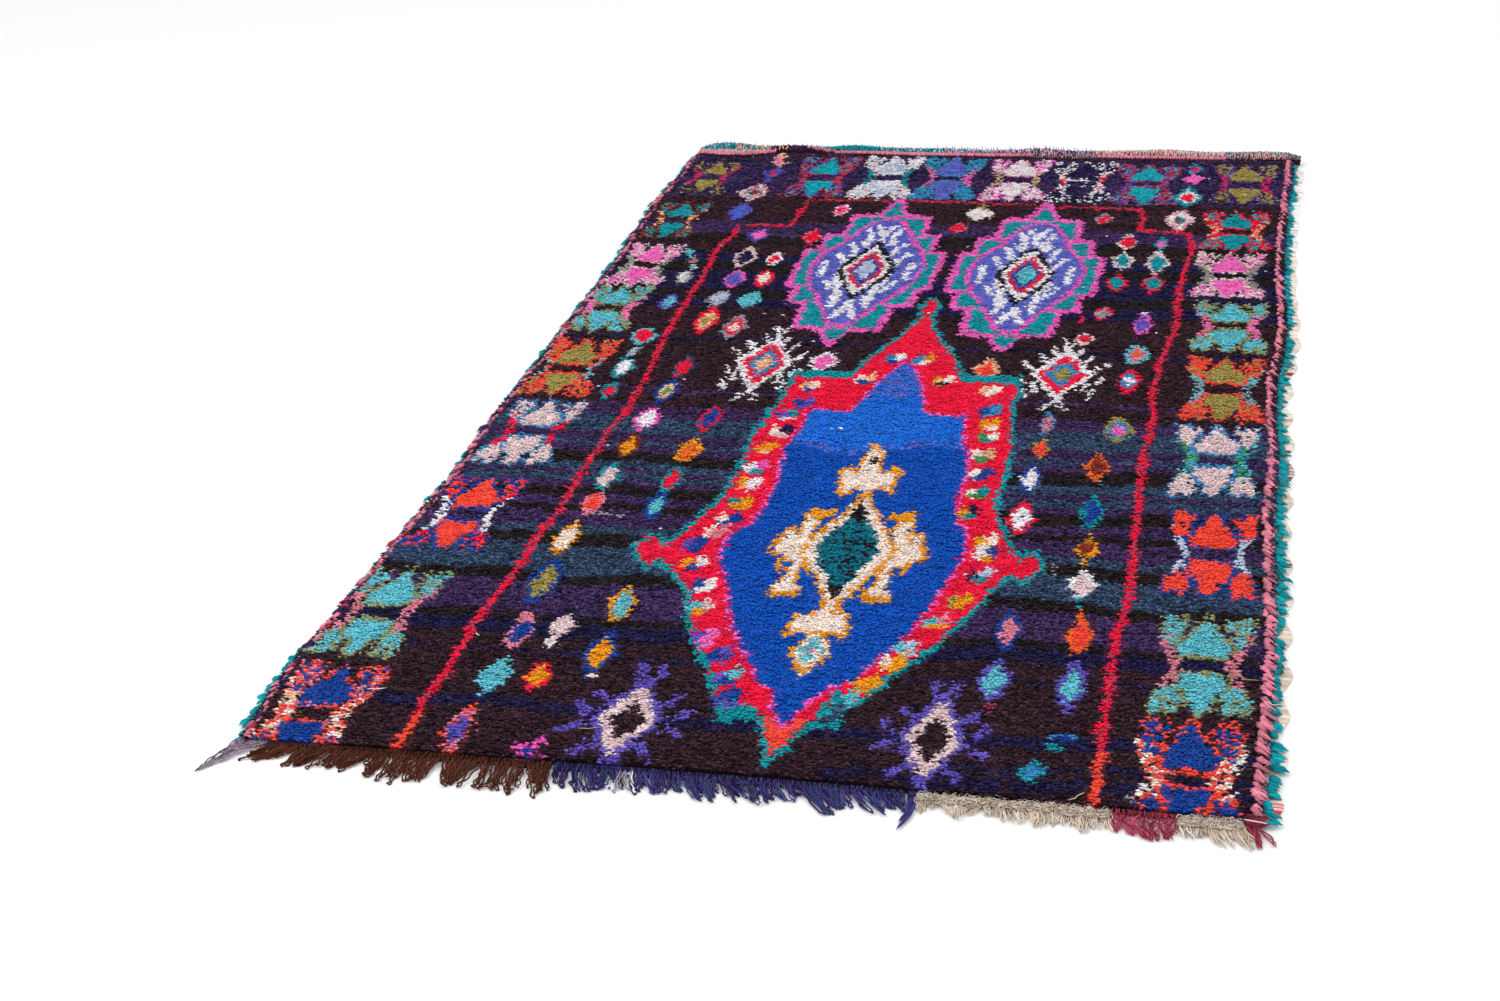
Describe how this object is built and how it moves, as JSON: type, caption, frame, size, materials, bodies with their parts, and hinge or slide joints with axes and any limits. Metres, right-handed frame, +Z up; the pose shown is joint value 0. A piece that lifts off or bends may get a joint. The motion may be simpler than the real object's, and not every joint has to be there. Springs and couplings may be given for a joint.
{
  "type": "boucherouite rug",
  "caption": "Hand-knotted shag pile rug lying flat, with a lozenge medallion pattern, tufted long sides, a woven selvedge, a rolled far end and a tied yarn fringe.",
  "frame": {"origin": "under the middle of the whole rug, fringe and tails included, on the floor", "axes": "+X across the rug, +Y along it from the fringe to the rolled end, +Z up out of the pile"},
  "size_m": [1.5462, 2.8935, 0.0295],
  "materials": {
    "pile": "shaggy knotted wool pile of many dyed yarns on dark brown-aubergine",
    "cotton": "undyed cream yarn, woven flat and left as fringe",
    "rose_yarn": "rolled end of rose, teal, indigo and beige yarn",
    "lilac_yarn": "lilac yarn, netted",
    "brown_yarn": "dark brown yarn, knotted and looped",
    "indigo_yarn": "indigo and violet yarn, knotted and looped",
    "maroon_yarn": "maroon yarn, netted"
  },
  "bodies": {
    "root": {"rug_pile": "pile", "selvedge_right": "cotton", "end_roll": "rose_yarn", "fringe_lilac": "lilac_yarn", "fringe_brown": "brown_yarn", "fringe_indigo": "indigo_yarn", "tassel_indigo": "indigo_yarn", "fringe_cream_left": "cotton", "fringe_maroon": "maroon_yarn", "fringe_cream_right": "cotton", "tassel_maroon": "maroon_yarn"}
  },
  "joints": []
}
